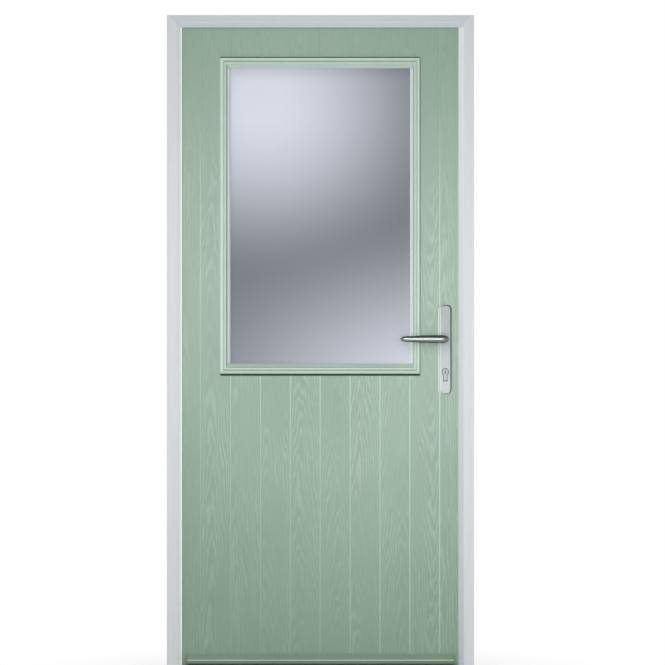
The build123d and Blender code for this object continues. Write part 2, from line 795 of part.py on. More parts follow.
# Hinges: interleaved knuckles on two flaps, the frame flap with the odd knuckles.
for name, level in zip(hinge_names, hinge_levels):
    hinge_low = level - hinge_height / 2
    knuckle_levels = [hinge_low + (n + 0.5) * knuckle_pitch for n in range(knuckle_count)]

    with BuildPart() as frame_flap:
        with BuildSketch(Plane.YZ.offset(-rebate_x)):
            with Locations((inside_y - flap_width / 2, level)):
                Rectangle(flap_width, hinge_height)
            for knuckle in knuckle_levels[0::2]:
                with Locations(((inside_y + hinge_y) / 2, knuckle)):
                    Rectangle(hinge_y - inside_y, knuckle_length)
        extrude(amount=-flap_thickness)
        for knuckle in knuckle_levels[0::2]:
            with BuildSketch(Plane.XY.offset(knuckle)):
                with Locations((hinge_x, hinge_y)):
                    Circle(knuckle_diameter / 2)
            extrude(amount=knuckle_length / 2, both=True)
        with BuildSketch(Plane.XY.offset(hinge_low)):
            with Locations((hinge_x, hinge_y)):
                Circle(pin_diameter / 2 + bearing_clearance)
        extrude(amount=hinge_height, mode=Mode.SUBTRACT)
    frame_flap.part.label = name + "_hinge_frame_flap"
    export_step(frame_flap.part, "parts/" + name + "_hinge_frame_flap.step")

    with BuildPart() as leaf_flap:
        with BuildSketch(Plane.YZ.offset(leaf_left)):
            with Locations((leaf_back - flap_width / 2, level)):
                Rectangle(flap_width, hinge_height)
            for knuckle in knuckle_levels[1::2]:
                with Locations(((leaf_back + hinge_y) / 2, knuckle)):
                    Rectangle(hinge_y - leaf_back, knuckle_length)
        extrude(amount=flap_thickness)
        for knuckle in knuckle_levels[1::2]:
            with BuildSketch(Plane.XY.offset(knuckle)):
                with Locations((hinge_x, hinge_y)):
                    Circle(knuckle_diameter / 2)
            extrude(amount=knuckle_length / 2, both=True)
        with BuildSketch(Plane.XY.offset(hinge_low)):
            with Locations((hinge_x, hinge_y)):
                Circle(pin_diameter / 2 + bearing_clearance)
        extrude(amount=hinge_height, mode=Mode.SUBTRACT)
    leaf_flap.part.label = name + "_hinge_leaf_flap"
    export_step(leaf_flap.part, "parts/" + name + "_hinge_leaf_flap.step")

    # Pin with a button at each end, resting on the outer knuckles.
    pin_low = knuckle_levels[0] - knuckle_length / 2
    pin_high = knuckle_levels[-1] + knuckle_length / 2
    with BuildPart() as hinge_pin:
        with BuildSketch(Plane.XZ.offset(-hinge_y)):
            with BuildLine():
                Polyline(
                    (hinge_x, pin_low - pin_head_height),
                    (hinge_x + pin_head_diameter / 2, pin_low - pin_head_height),
                    (hinge_x + pin_head_diameter / 2, pin_low),
                    (hinge_x + pin_diameter / 2, pin_low),
                    (hinge_x + pin_diameter / 2, pin_high),
                    (hinge_x + pin_head_diameter / 2, pin_high),
                    (hinge_x + pin_head_diameter / 2, pin_high + pin_head_height),
                    (hinge_x, pin_high + pin_head_height),
                    close=True,
                )
            make_face()
        revolve(axis=Axis((hinge_x, hinge_y, 0), (0, 0, 1)))
    hinge_pin.part.label = name + "_hinge_pin"
    export_step(hinge_pin.part, "parts/" + name + "_hinge_pin.step")
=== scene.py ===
import math
from functools import partial

import bmesh
import bpy
from bpy.props import FloatProperty, FloatVectorProperty, PointerProperty
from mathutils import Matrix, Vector


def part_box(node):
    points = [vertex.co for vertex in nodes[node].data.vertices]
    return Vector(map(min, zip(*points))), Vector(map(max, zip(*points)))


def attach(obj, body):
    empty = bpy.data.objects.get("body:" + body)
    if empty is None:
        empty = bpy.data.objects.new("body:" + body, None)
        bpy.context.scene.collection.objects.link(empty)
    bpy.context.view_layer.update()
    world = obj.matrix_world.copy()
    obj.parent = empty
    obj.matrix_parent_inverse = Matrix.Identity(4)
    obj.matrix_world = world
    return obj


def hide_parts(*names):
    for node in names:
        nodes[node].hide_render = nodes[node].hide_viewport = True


bl_info = {
    "name": "Half-glazed composite door",
    "version": (1, 0, 0),
    "blender": (4, 5, 0),
    "location": "3D View > Sidebar > Door",
    "description": "Finishes, levers, screws and studio for a half-glazed composite door set",
    "category": "Object",
}

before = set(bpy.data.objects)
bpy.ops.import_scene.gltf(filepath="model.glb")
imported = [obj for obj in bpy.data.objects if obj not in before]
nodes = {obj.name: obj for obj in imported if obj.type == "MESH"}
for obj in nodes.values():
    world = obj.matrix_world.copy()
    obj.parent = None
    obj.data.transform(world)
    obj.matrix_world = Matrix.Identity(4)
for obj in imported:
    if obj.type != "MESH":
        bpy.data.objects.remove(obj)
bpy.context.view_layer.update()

# Places and sizes that the finishes and pieces share, in metres: most come from the frame.
skin_low, skin_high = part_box("outer_skin")
leaf_x = (skin_low.x + skin_high.x) / 2
groove_pitch = 0.0954
groove_half = 0.0025
glass_low, glass_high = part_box("outer_pane")
sash_low, sash_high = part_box("outer_cassette")
sash_middle = (sash_low + sash_high) / 2
sash_half = (sash_high - sash_low) / 2
sash_sight = sash_half - Vector((0.032, 0, 0.032))
bar_low, bar_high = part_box("weather_bar")
plate_low, plate_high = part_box("outer_handle_plate")
plate_middle = (plate_low + plate_high) / 2
plate_half = (plate_high - plate_low) / 2
plate_round = 0.013
barrel_low, barrel_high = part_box("lock_cylinder")
spindle_low, spindle_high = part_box("spindle")
lever_x = (spindle_low.x + spindle_high.x) / 2
lever_z = (spindle_low.z + spindle_high.z) / 2
sight_half = -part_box("hinge_jamb")[1].x
sight_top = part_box("frame_head")[0].z
bevel_half = 0.0075
hinge_levels = ("top", "middle", "bottom")

# The kinds of node that the finishes use most.
MATH, VECTOR, RANGE = "ShaderNodeMath", "ShaderNodeVectorMath", "ShaderNodeMapRange"
NOISE, MIX, BUMP = "ShaderNodeTexNoise", "ShaderNodeMix", "ShaderNodeBump"
AXES, VECTOR_OF = "ShaderNodeSeparateXYZ", "ShaderNodeCombineXYZ"


def linear(hex_code):
    """Turns an sRGB hex colour into linear red, green and blue."""
    parts = [int(hex_code[i:i + 2], 16) / 255 for i in (0, 2, 4)]
    return [c / 12.92 if c <= 0.04045 else ((c + 0.055) / 1.055) ** 2.4 for c in parts]


def fill(node, sockets):
    """Fills each socket of a node with a value, or links it to another node or to one of its outputs."""
    for key, value in sockets.items():
        if isinstance(value, bpy.types.Node):
            value = value.outputs[0]
        if isinstance(value, bpy.types.NodeSocket):
            node.id_data.links.new(value, node.inputs[key])
        else:
            node.inputs[key].default_value = value


def add(tree, kind, sockets=None, operation=None, **settings):
    """Adds a node with its operation and settings, and fills its sockets."""
    made = tree.nodes.new(kind)
    if operation:
        made.operation = operation
    for key, value in settings.items():
        setattr(made, key, value)
    fill(made, sockets or {})
    return made


def finish(name, **shader_values):
    """A new material, what adds nodes to it, its shader with uniform values set, and the object's coordinates."""
    made = bpy.data.materials.new(name)
    made.use_nodes = True
    made.node_tree.nodes.clear()
    put = partial(add, made.node_tree)
    shader = put("ShaderNodeBsdfPrincipled")
    for key, value in shader_values.items():
        shader.inputs[key.replace("_", " ")].default_value = value
    put("ShaderNodeOutputMaterial", {"Surface": shader})
    place = put("ShaderNodeTexCoord").outputs["Object"]
    return made, put, shader, place


def dress(material, *names):
    """Puts a finish on CAD nodes."""
    for name in names:
        node = nodes[name]
        if not node.material_slots:
            node.data.materials.append(material)
        for slot in node.material_slots:
            slot.material = material


def colours():
    return bpy.context.scene.door_colours


def sizes():
    return bpy.context.scene.door_sizes


def rgba(colour):
    return (*colour, 1.0)


def outside(put, place, middle, half):
    """How far a place is outside an upright rectangle: less than nothing inside it."""
    away = put(VECTOR, {0: place, 1: middle}, "SUBTRACT")
    away = put(VECTOR, {0: away}, "ABSOLUTE")
    away = put(VECTOR, {0: away, 1: half}, "SUBTRACT")
    axes = put(AXES, {0: away})
    return put(MATH, {0: axes.outputs["X"], 1: axes.outputs["Z"]}, "MAXIMUM")


def within(put, place, middle, half, corner):
    """1 inside an upright rectangle with round corners, and 0 outside it."""
    away = put(VECTOR, {0: place, 1: middle}, "SUBTRACT")
    away = put(VECTOR, {0: away, 1: (1, 0, 1)}, "MULTIPLY")
    away = put(VECTOR, {0: away}, "ABSOLUTE")
    away = put(VECTOR, {0: away, 1: half - Vector((corner, 0, corner))}, "SUBTRACT")
    away = put(VECTOR, {0: away}, "MAXIMUM")
    away = put(VECTOR, {0: away}, "LENGTH").outputs["Value"]
    return put(MATH, {0: away, 1: corner}, "LESS_THAN")


def far_from(put, place, centre, stretch=(1, 0, 1)):
    """How far a place is from a centre, seen straight on and stretched."""
    away = put(VECTOR, {0: place, 1: centre}, "SUBTRACT")
    away = put(VECTOR, {0: away, 1: stretch}, "MULTIPLY")
    return put(VECTOR, {0: away}, "LENGTH").outputs["Value"]


# Finishes


def embossed_skin():
    """Polyester skin pressed in an oak-grain mould and sprayed sage green.

    The eye sees planks with their own flowing rings as soft paler streaks and short pores, with a painted
    highlight as a pale line in each groove. The sheen is broad, like eggshell paint.
    """
    look = colours()
    made, put, shader, place = finish("grp_skin_oak_emboss", IOR=1.6)
    axes = put(AXES, {0: place})
    across, up = axes.outputs["X"], axes.outputs["Z"]

    # The whole part is the plank's number, and the rest is the place across the plank.
    count = put(MATH, {0: across, 1: 1 / groove_pitch, 2: -leaf_x / groove_pitch}, "MULTIPLY_ADD")
    plank = put(MATH, {0: count}, "FLOOR")
    share = put(MATH, {0: count}, "FRACT")
    chance = put("ShaderNodeTexWhiteNoise", {"W": plank}, noise_dimensions="1D")
    chances = put("ShaderNodeSeparateColor", {0: chance.outputs["Color"]})

    # Growth rings are cones round a heart line behind the plank, so the plank's face cuts them into tall arches.
    other = put(MATH, {0: plank, 1: 0.37}, "ADD")
    other = put("ShaderNodeTexWhiteNoise", {"W": other}, noise_dimensions="1D")
    climb = put(MATH, {0: plank, 1: 7.31, 2: up}, "MULTIPLY_ADD")
    wander = put(NOISE, {"W": climb, "Scale": 1.9, "Detail": 1.0}, noise_dimensions="1D")
    heart = put(RANGE, {0: chances.outputs[0], 3: -0.05, 4: 0.02})
    heart = put(MATH, {0: wander, 1: 0.03, 2: heart}, "MULTIPLY_ADD")
    middle = put(MATH, {0: share, 1: groove_pitch, 2: -groove_pitch / 2}, "MULTIPLY_ADD")
    side = put(MATH, {0: middle, 1: heart}, "SUBTRACT")
    depth = put(RANGE, {0: chances.outputs[2], 3: 0.006, 4: 0.02})
    reach = put(VECTOR_OF, {0: side, 1: depth})
    radius = put(VECTOR, {0: reach}, "LENGTH").outputs["Value"]
    taper = put(RANGE, {0: other.outputs["Value"], 3: -0.11, 4: 0.11})
    radius = put(MATH, {0: climb, 1: taper, 2: radius}, "MULTIPLY_ADD")
    drift = put(VECTOR_OF, {0: across, 1: climb, 2: plank})
    stretched = put(VECTOR, {0: drift, 1: (42.0, 5.5, 3.7)}, "MULTIPLY")
    waver = put(NOISE, {"Vector": stretched, "Scale": 1.0, "Detail": 3.0})
    rough_radius = put(MATH, {0: waver, 1: 0.028, 2: radius}, "MULTIPLY_ADD")
    turn = put(MATH, {0: rough_radius, 1: 2 * math.pi / sizes().ring_spacing}, "MULTIPLY")
    wave = put(MATH, {0: turn}, "SINE")
    streak = put(RANGE, {0: wave, 1: -0.4, 2: 1.0}, interpolation_type="SMOOTHSTEP")

    # Pores, about 2.5 mm by 60 mm: real ones are a tenth as wide and would not show.
    fine = put(VECTOR, {0: place, 1: (400.0, 40.0, 16.0)}, "MULTIPLY")
    pores = put(NOISE, {"Vector": fine, "Scale": 1.0, "Detail": 3.0, "Roughness": 0.6})
    broken = put(RANGE, {0: pores, 1: 0.34, 2: 0.62, 3: 0.25, 4: 1.0})
    strength = put(RANGE, {0: chances.outputs[1], 3: 0.5, 4: 1.0})
    # The figure comes and goes along a plank, in patches of about 100 mm by 400 mm.
    showing = put(VECTOR, {0: drift, 1: (9.0, 2.4, 5.1)}, "MULTIPLY")
    showing = put(NOISE, {"Vector": showing, "Scale": 1.0, "Detail": 1.0})
    showing = put(RANGE, {0: showing, 1: 0.38, 2: 0.6, 3: 0.3, 4: 1.0})
    # The figure and the grooves' painted highlight fade towards the head.
    pressed = put(RANGE, {0: up, 1: 1.2, 2: 1.95, 3: 1.0, 4: 0.35}, interpolation_type="SMOOTHSTEP")
    showing = put(MATH, {0: showing, 1: pressed}, "MULTIPLY")
    drawn = streak
    for factor in (broken, showing, strength):
        drawn = put(MATH, {0: drawn, 1: factor}, "MULTIPLY")
    patch = put(NOISE, {"Vector": place, "Scale": 2.6, "Detail": 1.0})
    tone = put(RANGE, {0: patch, 1: 0.3, 2: 0.7, 3: 0.97, 4: 1.03})
    # Painted shade below the cassette, over about 400 mm: the paint there is darker, and rougher so it shines less.
    drip = Vector((sash_middle.x - 0.03, 0, sash_low.z))
    painted_light_weight = put(RANGE, {0: far_from(put, place, drip), 1: 0.4, 2: 0.0}, interpolation_type="SMOOTHSTEP")
    painted_shade_tone = put(RANGE, {0: painted_light_weight, 3: 1.0, 4: 0.935})
    tone = put(MATH, {0: tone, 1: painted_shade_tone}, "MULTIPLY")
    base = put(MIX, {0: drawn, 6: rgba(look.skin_green), 7: rgba(look.streak_green)}, data_type="RGBA").outputs[2]
    base = put(VECTOR, {0: base, "Scale": tone}, "SCALE")

    # Grooves: a painted highlight, a pale line in each, dimmer towards the foot and the hinge side.
    near = put(MATH, {0: count, 1: 0.5}, "ADD")
    near = put(MATH, {0: near}, "FRACT")
    away = put(MATH, {0: near, 1: groove_pitch, 2: -groove_pitch / 2}, "MULTIPLY_ADD")
    groove = put(MATH, {0: away, 1: 0.0, 2: 0.85 * groove_half}, "COMPARE")
    groove_highlight_fade = put(RANGE, {0: pressed, 1: 0.35, 2: 0.7, 3: 0.72, 4: 1.0})
    groove = put(MATH, {0: groove, 1: groove_highlight_fade}, "MULTIPLY")
    lit = put(VECTOR, {0: place, 1: (0.5, 0, 0.5)}, "DOT_PRODUCT").outputs["Value"]
    lit = put(RANGE, {0: lit, 1: -0.1, 2: 0.62})
    lit = put(MATH, {0: lit, 1: pressed}, "MULTIPLY")
    highlighted = put(MIX, {0: lit, 6: rgba(look.groove_highlight_dim), 7: rgba(look.highlight_pale)}, data_type="RGBA").outputs[2]
    # Painted highlight on the skin along the hinge side of the cassette, 4 mm wide, and of the handle plates, 5 mm
    # wide.
    sash_side_highlight = outside(put, place, sash_middle - Vector((0.002, 0, 0)), sash_half + Vector((0.002, 0, -0.003)))
    sash_side_highlight = put(MATH, {0: sash_side_highlight, 1: 0.0}, "LESS_THAN")
    plate_side_highlight = within(put, place, plate_middle - Vector((0.005, 0, 0)), plate_half, plate_round)
    # Painted highlight on the outer skin in a line of 3 mm along the lock jamb's stop.
    rubbing_and_highlight = put(MATH, {0: across, 1: sight_half - 0.0009, 2: 0.0016}, "COMPARE")
    weather = put(MATH, {0: axes.outputs["Y"], 1: skin_high.y}, "LESS_THAN")
    rubbing_and_highlight = put(MATH, {0: rubbing_and_highlight, 1: weather}, "MULTIPLY")
    # Painted shadow: a dull dark line along the cassette, 3 mm wide above it and 7 mm below.
    rim = outside(put, place, sash_middle - Vector((0, 0, 0.0019)), sash_half + Vector((0, 0, 0.0052)))
    painted_shadow_line = put(MATH, {0: rim, 1: 0.0}, "LESS_THAN")
    # A narrower painted shadow runs over the head and down the lock side of the handle plates.
    beside = within(put, place, plate_middle + Vector((0.0028, 0, 0.0014)), plate_half, plate_round)
    painted_shadow_line = put(MATH, {0: painted_shadow_line, 1: beside}, "MAXIMUM")
    # Lay the grooves' painted highlight, the other painted highlights and the painted shadow over the skin.
    for mask, colour in ((groove, highlighted), (sash_side_highlight, rgba(linear("9DB9A7"))), (plate_side_highlight, rgba(linear("C0CCC5"))),
                         (rubbing_and_highlight, rgba(look.highlight_pale)), (painted_shadow_line, rgba(linear("324E3B")))):
        base = put(MIX, {0: mask, 6: base, 7: colour}, data_type="RGBA").outputs[2]

    gloss = put(RANGE, {0: drawn, 3: 0.36, 4: 0.24})
    gloss = put(MATH, {0: painted_light_weight, 1: 0.08, 2: gloss}, "MULTIPLY_ADD")
    gloss = put(RANGE, {0: painted_shadow_line, 3: gloss, 4: 0.95})
    height = put(MATH, {0: drawn, 1: 0.6, 2: broken}, "MULTIPLY_ADD")
    bump = put(BUMP, {"Height": height, "Strength": 0.4, "Distance": 0.0003})
    fill(shader, {"Base Color": base, "Roughness": gloss, "Normal": bump})
    return made


def coated_bar():
    """Aluminium weather bar, powder-coated green: a fine stipple, a painted highlight along the nose, painted shade
    under it.
    """
    made, put, shader, place = finish("coated_weather_bar", IOR=1.5)
    cloud = put(NOISE, {"Vector": place, "Scale": 9.0, "Detail": 2.0})
    tone = put(RANGE, {0: cloud, 1: 0.3, 2: 0.7, 3: 0.95, 4: 1.05})
    up = put(AXES, {0: place}).outputs["Z"]
    under = bar_low.z + 0.3 * (bar_high.z - bar_low.z)
    # Painted highlight along the nose and painted shade under it.
    nose = put(MATH, {0: up, 1: under + 0.0018, 2: 0.0017}, "COMPARE")
    nose = put(RANGE, {0: nose, 3: 1.0, 4: 1.52})
    shadow = put(MATH, {0: up, 1: under}, "LESS_THAN")
    shadow = put(RANGE, {0: shadow, 3: 1.0, 4: 0.68})
    for factor in (nose, shadow):
        tone = put(MATH, {0: tone, 1: factor}, "MULTIPLY")
    shade = put(VECTOR, {0: colours().bar_green, "Scale": tone}, "SCALE")
    # Stipple with grains of about 1.5 mm.
    stipple = put(NOISE, {"Vector": place, "Scale": 650.0, "Detail": 2.0})
    gloss = put(RANGE, {0: stipple, 3: 0.39, 4: 0.51})
    bump = put(BUMP, {"Height": stipple, "Strength": 0.15, "Distance": 0.0002})
    fill(shader, {"Base Color": shade, "Roughness": gloss, "Normal": bump})
    return made


def moulded_cassette():
    """Moulded acrylic-styrene, soft lip: pale green, a painted grey-white highlight on the lip up both sides of the
    glass.
    """
    look = colours()
    made, put, shader, place = finish("asa_cassette", IOR=1.5)
    cloud = put(NOISE, {"Vector": place, "Scale": 9.0, "Detail": 2.0})
    tone = put(RANGE, {0: cloud, 1: 0.3, 2: 0.7, 3: 0.97, 4: 1.03})
    # Painted highlight: grey-white on the lip up both sides of the glass.
    lip = outside(put, place, sash_middle, sash_sight + Vector((0.009, 0, -0.002)))
    lip = put(MATH, {0: lip, 1: 0.0}, "LESS_THAN")
    shade = put(MIX, {0: lip, 6: rgba(look.cassette_green), 7: rgba(look.lip_highlight)}, data_type="RGBA").outputs[2]
    # Painted shade in the level runs of the quirk, 9 to 14 mm in from the edge, and along the flat band at the foot.
    inward = outside(put, place, sash_middle, sash_half)
    quirk = put(MATH, {0: inward, 1: -0.0115, 2: 0.0026}, "COMPARE")
    axes = put(AXES, {0: place})
    across, up = axes.outputs["X"], axes.outputs["Z"]
    rise = put(MATH, {0: up, 1: sash_middle.z}, "SUBTRACT")
    rise = put(MATH, {0: rise}, "ABSOLUTE")
    rise = put(MATH, {0: rise, 1: sash_half.z}, "SUBTRACT")
    level = put(MATH, {0: rise, 1: inward, 2: 0.00001}, "COMPARE")
    quirk_shade = put(RANGE, {0: put(MATH, {0: quirk, 1: level}, "MULTIPLY"), 3: 1.0, 4: 0.8})
    band_top = sash_low.z + 0.0095
    foot = put(RANGE, {0: up, 1: sash_low.z, 2: band_top, 3: 0.74, 4: 0.9})
    low = put(MATH, {0: up, 1: band_top}, "LESS_THAN")
    foot = put(RANGE, {0: low, 3: 1.0, 4: foot})
    for factor in (quirk_shade, foot):
        tone = put(MATH, {0: tone, 1: factor}, "MULTIPLY")
    # Up the hinge side the outer edge has a painted highlight, and the inner step and the lip's inner edge painted
    # shade. So has the outer edge on the lock side.
    upright = put(RANGE, {0: level, 3: 1.0, 4: 0.0})
    for line, half, strength in ((sash_low.x + 0.0015, 0.0018, 1.25), (sash_low.x + 0.0214, 0.0033, 0.74),
                                 (sash_low.x + 0.0305, 0.0025, 0.7), (sash_high.x - 0.0017, 0.0018, 0.7)):
        band = put(MATH, {0: across, 1: line, 2: half}, "COMPARE")
        band = put(RANGE, {0: put(MATH, {0: band, 1: upright}, "MULTIPLY"), 3: 1.0, 4: strength})
        tone = put(MATH, {0: tone, 1: band}, "MULTIPLY")
    shade = put(VECTOR, {0: shade, "Scale": tone}, "SCALE")
    # Stipple with grains of about 1.5 mm.
    stipple = put(NOISE, {"Vector": place, "Scale": 650.0, "Detail": 2.0})
    gloss = put(RANGE, {0: stipple, 3: 0.32, 4: 0.42})
    bump = put(BUMP, {"Height": stipple, "Strength": 0.1, "Distance": 0.0002})
    fill(shader, {"Base Color": shade, "Roughness": gloss, "Normal": bump})
    return made


def silver_lacquer():
    """Die-cast plate under satin silver lacquer: grey with fine flakes, painted shade higher up, smoother where
    handled.
    """
    made, put, shader, place = finish("satin_silver_lacquer", Metallic=0.25)
    # Flakes of about 1.5 mm: real ones are too fine to show.
    flakes = put(NOISE, {"Vector": place, "Scale": 700.0, "Detail": 2.0})
    axes = put(AXES, {0: place})
    # Painted shade, darker higher up the plate.
    painted_light_weight = put(RANGE, {0: axes.outputs["Z"], 1: barrel_low.z, 2: lever_z + 0.1, 3: 1.02, 4: 0.74})
    # Painted highlight on the edge towards the hinges, 3 mm wide.
    edge = put(MATH, {0: axes.outputs["X"], 1: plate_low.x + 0.003}, "LESS_THAN")
    painted_light_weight = put(RANGE, {0: edge, 3: painted_light_weight, 4: 2.1})
    tone = put(RANGE, {0: flakes, 1: 0.3, 2: 0.7, 3: 0.95, 4: 1.05})
    tone = put(MATH, {0: tone, 1: painted_light_weight}, "MULTIPLY")
    shade = put(VECTOR, {0: colours().satin_silver, "Scale": tone}, "SCALE")
    # Dirt in the joint round the lock cylinder: a line of 2 mm round its barrel and its tail.
    radius = (barrel_high.x - barrel_low.x) / 2
    crown = Vector((lever_x, 0, barrel_high.z - radius))
    tail = Vector((lever_x, 0, (barrel_low.z + crown.z) / 2))
    round_barrel = put(MATH, {0: far_from(put, place, crown), 1: radius}, "SUBTRACT")
    round_tail = outside(put, place, tail, Vector((0.005, 0, (crown.z - barrel_low.z) / 2)))
    joint = put(MATH, {0: round_barrel, 1: round_tail}, "MINIMUM")
    joint = put(MATH, {0: joint, 1: 0.002}, "LESS_THAN")
    shade = put(MIX, {0: joint, 6: shade, 7: rgba(linear("1E2221"))}, data_type="RGBA").outputs[2]
    rubbing_and_highlight = put(NOISE, {"Vector": place, "Scale": 18.0, "Detail": 3.0})
    gloss = put(RANGE, {0: rubbing_and_highlight, 1: 0.3, 2: 0.7, 3: 0.44, 4: 0.54})
    bump = put(BUMP, {"Height": flakes, "Strength": 0.05, "Distance": 0.0001})
    fill(shader, {"Base Color": shade, "Roughness": gloss, "Normal": bump})
    return made


def lined(name, colour, stretch, tones, glosses, relief, **shader_values):
    """A finish with fine lines along it, which change its tone and its gloss and stand up a little."""
    made, put, shader, place = finish(name, **shader_values)
    run = put(VECTOR, {0: place, 1: stretch}, "MULTIPLY")
    lines = put(NOISE, {"Vector": run, "Scale": 1.0, "Detail": 3.0})
    tone = put(RANGE, {0: lines, 1: 0.3, 2: 0.7, 3: tones[0], 4: tones[1]})
    shade = put(VECTOR, {0: colour, "Scale": tone}, "SCALE")
    gloss = put(RANGE, {0: lines, 3: glosses[0], 4: glosses[1]})
    bump = put(BUMP, {"Height": lines, "Strength": relief[0], "Distance": relief[1]})
    fill(shader, {"Base Color": shade, "Roughness": gloss, "Normal": bump})
    return made


def painted_edge():
    """Hardwood edge painted to match the skin: brush lines and a little grain along the edge, duller than the skin."""
    # Brush lines about 2 mm wide and 200 mm long.
    return lined("painted_hardwood_edge", colours().skin_green, (500.0, 500.0, 5.0), (0.9, 1.08), (0.5, 0.66),
                 (0.25, 0.0003), IOR=1.5)


def rigid_foam():
    """Rigid polyurethane foam: straw-coloured, matt, with cells of about 2 mm."""
    made, put, shader, place = finish("polyurethane_foam", Roughness=0.95)
    cells = put("ShaderNodeTexVoronoi", {"Vector": place, "Scale": 450.0})
    tone = put(MIX, {0: cells, 6: rgba(linear("D9CB93")), 7: rgba(linear("B9A868"))}, data_type="RGBA")
    bump = put(BUMP, {"Height": cells, "Strength": 0.6, "Distance": 0.001})
    fill(shader, {"Base Color": tone.outputs[2], "Normal": bump})
    return made


def grained_foil(name, colour, stretch):
    """Printed foil wrapped on the frame sections: cool white with a faint embossed grain along the section.

    The hinge jamb's arris beside the leaf has a painted highlight, and a hair-thin grey line shows where the foil
    is cut at the mitres of the head.
    """
    made, put, shader, place = finish(name, IOR=1.46)
    # Grain lines about 3 mm wide and 150 mm long.
    run = put(VECTOR, {0: place, 1: stretch}, "MULTIPLY")
    grain = put(NOISE, {"Vector": run, "Scale": 1.0, "Detail": 3.0, "Distortion": 0.3})
    tone = put(RANGE, {0: grain, 1: 0.3, 2: 0.7, 3: 0.97, 4: 1.03})
    axes = put(AXES, {0: place})
    across, up = axes.outputs["X"], axes.outputs["Z"]
    below = put(MATH, {0: up, 1: sight_top - 0.0005}, "LESS_THAN")
    # Painted light on the bevels: the hinge jamb's lighter all the way,
    # the lock jamb's darker at the foot and lighter at the head.
    for middle, foot, top in ((-sight_half - bevel_half, 1.08, 1.08), (sight_half + bevel_half, 0.87, 1.27)):
        bevel = put(MATH, {0: across, 1: middle, 2: bevel_half}, "COMPARE")
        bevel_painted_light = put(RANGE, {0: up, 1: 0.0, 2: sight_top, 3: foot, 4: top})
        bevel_painted_light = put(RANGE, {0: put(MATH, {0: bevel, 1: below}, "MULTIPLY"), 3: 1.0, 4: bevel_painted_light})
        tone = put(MATH, {0: tone, 1: bevel_painted_light}, "MULTIPLY")
    shade = put(VECTOR, {0: colour, "Scale": tone}, "SCALE")
    outward = put(MATH, {0: across}, "ABSOLUTE")
    # Painted highlight along the hinge jamb's arris beside the leaf.
    beside = put(MATH, {0: across, 1: -sight_half - 0.0024, 2: 0.0026}, "COMPARE")
    wear_and_highlight = put(MATH, {0: beside, 1: below}, "MULTIPLY")
    rise = put(MATH, {0: up, 1: sight_half - sight_top}, "ADD")
    seam = put(MATH, {0: rise, 1: outward, 2: 0.0011}, "COMPARE")
    for mask, line in ((wear_and_highlight, "FAFFFC"), (seam, "B6BCC0")):
        shade = put(MIX, {0: mask, 6: shade, 7: rgba(linear(line))}, data_type="RGBA").outputs[2]
    gloss = put(RANGE, {0: grain, 3: 0.42, 4: 0.56})
    bump = put(BUMP, {"Height": grain, "Strength": 0.2, "Distance": 0.0003})
    fill(shader, {"Base Color": shade, "Roughness": gloss, "Normal": bump})
    return made


def mill_aluminium(name, colour):
    """Extruded aluminium left as it came from the die: grey, with fine draw lines along its length."""
    # Draw lines about 1.5 mm apart and 0.5 m long.
    return lined(name, colour, (2.0, 650.0, 650.0), (0.9, 1.08), (0.36, 0.52), (0.1, 0.0002), Metallic=1.0)


def seal_rubber():
    """Extruded EPDM rubber: near black, matt, a little bloomed with grey."""
    made, put, shader, place = finish("epdm_seal", Roughness=0.7)
    bloom = put(NOISE, {"Vector": place, "Scale": 60.0, "Detail": 4.0})
    shade = put(MIX, {0: bloom, 6: rgba(linear("26282A")), 7: rgba(linear("404346"))}, data_type="RGBA")
    fill(shader, {"Base Color": shade.outputs[2]})
    return made


def intumescent_strip():
    """Intumescent strip in a plastic sheath: off-white and matt, with ribs of about 2 mm along it."""
    made, put, shader, place = finish("intumescent_sheath", Roughness=0.6)
    ribs = put("ShaderNodeTexWave", {"Vector": place, "Scale": 80.0, "Distortion": 0.4}, bands_direction="Y")
    shade = put(MIX, {0: ribs.outputs["Fac"], 6: rgba(linear("CFCDC4")), 7: rgba(linear("BAB8AE"))}, data_type="RGBA")
    bump = put(BUMP, {"Height": ribs.outputs["Fac"], "Strength": 0.3, "Distance": 0.0003})
    fill(shader, {"Base Color": shade.outputs[2], "Normal": bump})
    return made


def etched_glass():
    """Acid-etched float glass: milky, with a satin face.

    Painted light in soft clouds: bright high on the hinge side and low on the lock side, with a darker band between.
    """
    look = colours()
    made, put, shader, place = finish("acid_etched_glass", IOR=1.5, Roughness=0.38, Specular_IOR_Level=0.3)
    width, height = glass_high.x - glass_low.x, glass_high.z - glass_low.z
    clouds = []
    # Painted light: two soft clouds of brightness on the pane.
    for across, up, stretch, radius, strength in ((0.19, 0.88, 0.89, 0.57, 1.0), (1.57, -0.19, 0.54, 0.7, 1.14)):
        centre = (glass_low.x + across * width, 0, glass_low.z + up * height)
        away = far_from(put, place, centre, (stretch, 0, 1))
        clouds.append(put(RANGE, {0: away, 1: radius, 2: 0.0, 4: strength}, interpolation_type="SMOOTHSTEP"))
    light = put(MATH, {0: clouds[0], 1: clouds[1]}, "ADD")
    # The etch itself: grains of about 2 mm, just enough to break the clouds.
    grit = put(NOISE, {"Vector": place, "Scale": 500.0, "Detail": 2.0})
    light = put(MATH, {0: grit, 1: 0.05, 2: light}, "MULTIPLY_ADD")
    shade = put(MIX, {0: light, 6: rgba(look.glass_painted_dark), 7: rgba(look.glass_painted_bright)}, data_type="RGBA")
    # The cassette blocks some light in the 45 mm below its head and the 25 mm beside its hinge side.
    slant = Vector((0.01, 0, -0.03))
    inside = outside(put, place, sash_middle + slant, sash_sight + Vector((0.03, 0, 0.03)))
    fade = put(RANGE, {0: inside, 1: -0.045, 2: 0.0, 3: 1.0, 4: 0.8}, interpolation_type="SMOOTHSTEP")
    shade = put(VECTOR, {0: shade.outputs[2], "Scale": fade}, "SCALE")
    bump = put(BUMP, {"Height": grit, "Strength": 0.08, "Distance": 0.0002})
    fill(shader, {"Base Color": shade, "Normal": bump})
    return made


